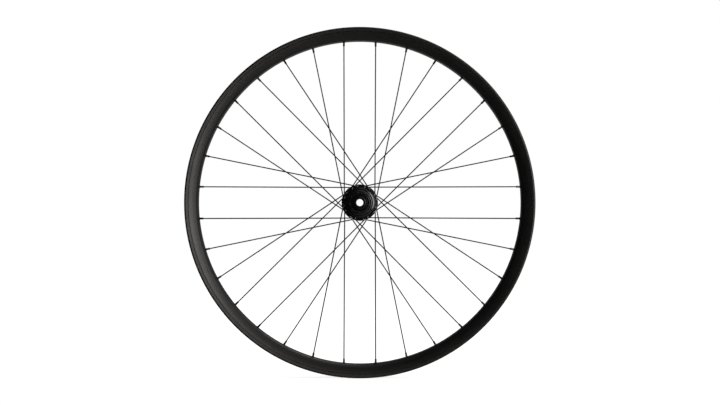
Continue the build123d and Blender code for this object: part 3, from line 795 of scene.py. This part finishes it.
# %% Hub body
HUB_STEPS = 144
hub_section = [
    (21.5, -28.5),
    (22.65, -28.5),
    (23.95, -28.26),
    (24.2, -27.9),
    (24.2, -22.79),
    (30.95, -22.43),
    (30.95, -19.4),
    (24.0, -19.4),
    (19.85, -17.0),
    (16.8, -10.0),
    (14.6, -3.0),
    (14.6, 26.4),
    (18.2, 32.0),
    (24.0, 33.4),
    (30.95, 33.4),
    (30.95, 36.43),
    (24.0, 36.79),
    (18.2, 39.4),
    (18.2, 49.0),
    (19.8, 49.0),
    (19.8, 55.2),
    (17.5, 55.2),
    (17.5, 57.5),
    (14.02, 57.5),
    (14.02, 49.5),
    (12.3, 49.5),
    (12.3, -10.0),
    (14.02, -10.0),
    (14.02, -17.0),
    (17.05, -17.0),
    (17.05, -24.0),
    (21.5, -24.0),
]
hub_softened = [
    ((21.5, -28.5), 0.25, 3),
    ((23.95, -28.26), 0.15, 3),
    ((24.2, -27.9), 0.15, 3),
    ((24.2, -22.79), 0.8, 4),
    ((30.95, -22.43), 0.6, 4),
    ((30.95, -19.4), 0.6, 4),
    ((24.0, -19.4), 1.2, 4),
    ((16.8, -10.0), 2.4, 4),
    ((14.6, -3.0), 3.0, 5),
    ((14.6, 26.4), 3.0, 5),
    ((18.2, 32.0), 1.4, 4),
    ((30.95, 33.4), 0.6, 4),
    ((30.95, 36.43), 0.6, 4),
    ((18.2, 39.4), 1.4, 4),
    ((17.5, 57.5), 0.4, 3),
    ((14.02, 57.5), 0.3, 2),
]
hub = turn_on_axle("hub_shell_turned", hub_section, HUB_STEPS)
for corner, width, segments in hub_softened:
    soften(hub, corner, width, segments)
print("hub body", len(hub.data.vertices), "points")

# %% Rotor lobes and holes
ROTOR_BOLTS = 6
BOLT_CIRCLE = 22.0
along_y = Matrix.Rotation(math.radians(-90), 4, "X")


def bolt_places():
    """Where the six rotor bolts stand, looking along the axle."""
    return [
        turn_about_axle(360 / ROTOR_BOLTS * n) @ Matrix.Translation((BOLT_CIRCLE * MM, 0, 0)) @ along_y
        for n in range(ROTOR_BOLTS)
    ]


lobe = stack_post("lobe", [(49.0, 4.6), (49.4, 5.0), (54.8, 5.0), (55.2, 4.6)], steps=40)
work_on(hub, copy_round(lobe, bolt_places()), "UNION")
bolt_drill = stack_post("bolt_drill", [(46, 2.1), (54.7, 2.1), (55.25, 2.6), (60, 2.6)], steps=24)
work_on(hub, copy_round(bolt_drill, bolt_places()), "DIFFERENCE")
print("rotor flange", ROTOR_BOLTS, "lobes")

# %% Spoke holes
spoke_drill = stack_post(
    "spoke_drill", [(-4, 1.85), (-1.65, 1.85), (-1.1, 1.3), (1.1, 1.3), (1.65, 1.85), (4, 1.85)], steps=20
)
hole_places = [Matrix.Translation(hub_hole) @ along_y for seat, hub_hole in lacing]
work_on(hub, copy_round(spoke_drill, hole_places), "DIFFERENCE")
finish_piece(hub, "hub_shell", "wheel_assembly", "hub_black")

# %% [markdown]
# ## The freehub body
# The sprockets slide onto nine ridges, one of them wider, so that they only go on one way round. The
# mouth at the outer end is threaded for a lockring, modelled as a row of shallow grooves. The ridges
# are one block with bevelled edges, copied round the body and joined on by a Boolean.

# %% Freehub body
FREEHUB_STEPS = 144
MOUTH_RADIUS = 15.3
THREAD_START = -66.4
THREAD_PITCH = 1.0
THREAD_DEPTH = 0.45
THREAD_TURNS = 5
mouth_thread = []
for n in range(THREAD_TURNS):
    start = THREAD_START + n * THREAD_PITCH
    mouth_thread += [(MOUTH_RADIUS, start), (MOUTH_RADIUS + THREAD_DEPTH, start + THREAD_PITCH / 2)]
freehub_section = (
    [
        (13.75, -25.4),
        (16.95, -25.4),
        (16.95, -29.4),
        (19.7, -29.4),
        (19.7, -32.0),
        (16.3, -32.0),
        (16.3, -67.0),
        (MOUTH_RADIUS, -67.0),
    ]
    + mouth_thread
    + [
        (MOUTH_RADIUS, THREAD_START + THREAD_TURNS * THREAD_PITCH),
        (MOUTH_RADIUS, -59.0),
        (12.02, -59.0),
        (12.02, -34.5),
        (10.8, -34.5),
        (10.8, -31.3),
        (13.75, -31.3),
    ]
)
freehub = turn_on_axle("freehub_turned", freehub_section, FREEHUB_STEPS)
for corner, width, segments in [
    ((19.7, -32.0), 0.5, 4),
    ((19.7, -29.4), 0.3, 3),
    ((16.3, -67.0), 0.3, 3),
]:
    soften(freehub, corner, width, segments)
print("freehub body", len(freehub.data.vertices), "points")


# %% Blocks along the axle
def ridge_block(name, low, high, width, start_y, end_y, bevel=0.0):
    """Block along the axle, from one radius to another, in mm, with its edges bevelled if asked."""
    start_clean()
    bpy.ops.mesh.primitive_cube_add(size=1, location=((low + high) / 2 * MM, (start_y + end_y) / 2 * MM, 0))
    block = bpy.context.object
    block.name = name
    block.scale = ((high - low) * MM, (end_y - start_y) * MM, width * MM)
    bpy.ops.object.transform_apply(location=True, rotation=True, scale=True)
    if bevel:
        bpy.ops.object.mode_set(mode="EDIT")
        bpy.ops.mesh.select_all(action="SELECT")
        bpy.ops.mesh.bevel(offset=bevel * MM, segments=3, profile=0.5, affect="EDGES")
        bpy.ops.object.mode_set(mode="OBJECT")
    return block


# %% Freehub ridges
RIDGES = 9
RIDGE_TURN = 25
RIDGE_FOOT = 15.9
RIDGE_ENDS = (-66.95, -31.0)
RIDGE_BEVEL = 0.3
NARROW_TOP, NARROW_WIDTH = 17.18, 4.0
WIDE_TOP, WIDE_WIDTH = 17.0, 6.5
ridge_places = [turn_about_axle(RIDGE_TURN + 360 / RIDGES * n) for n in range(RIDGES)]
narrow = ridge_block("ridge", RIDGE_FOOT, NARROW_TOP, NARROW_WIDTH, *RIDGE_ENDS, RIDGE_BEVEL)
work_on(freehub, copy_round(narrow, ridge_places[1:]), "UNION")
wide = ridge_block("wide_ridge", RIDGE_FOOT, WIDE_TOP, WIDE_WIDTH, *RIDGE_ENDS, RIDGE_BEVEL)
work_on(freehub, copy_round(wide, ridge_places[:1]), "UNION")
print("freehub with", RIDGES, "ridges", len(freehub.data.polygons), "faces")

# %% Splines inside the freehub
INNER_SPLINES = 20
groove = ridge_block("groove", low=13.0, high=14.55, width=2.0, start_y=-31.3, end_y=-24.0)
grooves = copy_round(groove, [turn_about_axle(360 / INNER_SPLINES * n) for n in range(INNER_SPLINES)])
work_on(freehub, grooves, "DIFFERENCE")
finish_piece(freehub, "freehub_body", "freehub_assembly", "freehub_black")

# %% [markdown]
# ## End caps and seal
# The two caps push onto the axle's ends and carry the wheel in the frame. They are small turned pieces,
# and their chamfers are the thin bright rings around the axle hole. The seal is soft rubber with a thin
# lip that closes the gap between the turning freehub and the shell.

# %% Drive side end cap
CAP_STEPS = 96
drive_cap_section = [
    (6.05, -74.0),
    (9.15, -74.0),
    (9.5, -73.94),
    (9.75, -73.6),
    (9.75, -66.0),
    (11.8, -66.0),
    (13.2, -65.93),
    (13.2, -63.4),
    (9.1, -63.4),
    (9.1, -58.5),
    (7.52, -58.5),
    (7.52, -70.0),
    (6.05, -70.0),
]
drive_cap = turn_on_axle("drive_cap_turned", drive_cap_section, CAP_STEPS)
for corner, width, segments in [
    ((9.5, -73.94), 0.1, 3),
    ((9.75, -73.6), 0.1, 3),
    ((6.05, -74.0), 0.3, 3),
    ((9.75, -66.0), 0.15, 3),
    ((13.2, -65.93), 0.2, 3),
]:
    soften(drive_cap, corner, width, segments)
finish_piece(drive_cap, "drive_end_cap", "axle_assembly", "cap_black")

# %% Disc side end cap
disc_cap_section = [
    (6.05, 74.0),
    (9.75, 74.0),
    (9.75, 60.6),
    (16.4, 60.6),
    (16.4, 58.0),
    (9.1, 58.0),
    (9.1, 56.5),
    (7.52, 56.5),
    (7.52, 70.0),
    (6.05, 70.0),
]
disc_cap = turn_on_axle("disc_cap_turned", disc_cap_section, CAP_STEPS)
for corner, width, segments in [
    ((9.75, 74.0), 0.6, 4),
    ((6.05, 74.0), 0.3, 3),
    ((9.75, 60.6), 0.6, 4),
    ((16.4, 60.6), 0.5, 4),
]:
    soften(disc_cap, corner, width, segments)
finish_piece(disc_cap, "disc_end_cap", "axle_assembly", "cap_black")

# %% Freehub seal
seal_section = [
    (16.97, -29.4),
    (19.4, -29.4),
    (20.5, -29.18),
    (21.2, -28.4),
    (21.2, -27.5),
    (18.7, -28.0),
    (18.7, -26.4),
    (16.97, -26.4),
]
seal = turn_on_axle("freehub_lip_seal", seal_section, CAP_STEPS)
soften(seal, (20.5, -29.18), width=0.12, segments=3)
finish_piece(seal, "freehub_seal", "freehub_assembly", "seal_rubber")

# %% [markdown]
# ## The ratchet springs
# Behind each ratchet ring sits a short coil of square wire, hidden inside the hub. Each spring is a piece
# of its own, with a mesh of its own, built at its rest length. A small square is swept round by the Screw
# modifier, and the two cut ends of the wire are filled.

# %% Ratchet springs
COIL_RADIUS = 12.1
COIL_WIRE = 0.7
COIL_TURNS = 2.5
COIL_STEPS = 120  # in one turn
COIL_LENGTH = 2.78


def coil_spring(name, start_y):
    """Coil of square wire about the axle line, from start_y in mm towards +Y.

    It is swept upright, about the Z axis, and then laid over.
    """
    start_clean()
    bpy.ops.mesh.primitive_plane_add(
        size=COIL_WIRE * MM,
        location=(COIL_RADIUS * MM, 0, COIL_WIRE / 2 * MM),
        rotation=(math.radians(90), 0, 0),
    )
    coil = bpy.context.object
    bpy.ops.object.transform_apply(location=True, rotation=True, scale=True)
    sweep = coil.modifiers.new("sweep", "SCREW")
    sweep.angle = math.radians(360 * COIL_TURNS)
    sweep.screw_offset = (COIL_LENGTH - COIL_WIRE) * MM
    sweep.steps = COIL_STEPS
    sweep.render_steps = COIL_STEPS
    bpy.ops.object.modifier_apply(modifier=sweep.name)
    bpy.ops.object.mode_set(mode="EDIT")
    bpy.ops.mesh.select_all(action="SELECT")
    bpy.ops.mesh.fill_holes(sides=4)
    bpy.ops.mesh.select_all(action="SELECT")
    bpy.ops.mesh.normals_make_consistent(inside=False)
    bpy.ops.object.mode_set(mode="OBJECT")
    laid = copy_round(coil, [Matrix.Translation((0, start_y * MM, 0)) @ along_y])
    laid.name = name
    return laid


for side, start_y, seat_y, body in (
    ("hub", -20.98, -18.2, "wheel_assembly"),
    ("drive", -31.3, -31.3, "freehub_assembly"),
):
    spring = coil_spring(side + "_coil_spring", start_y)
    finish_piece(spring, side + "_ratchet_spring", body, "spring_steel")
    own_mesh(spring)
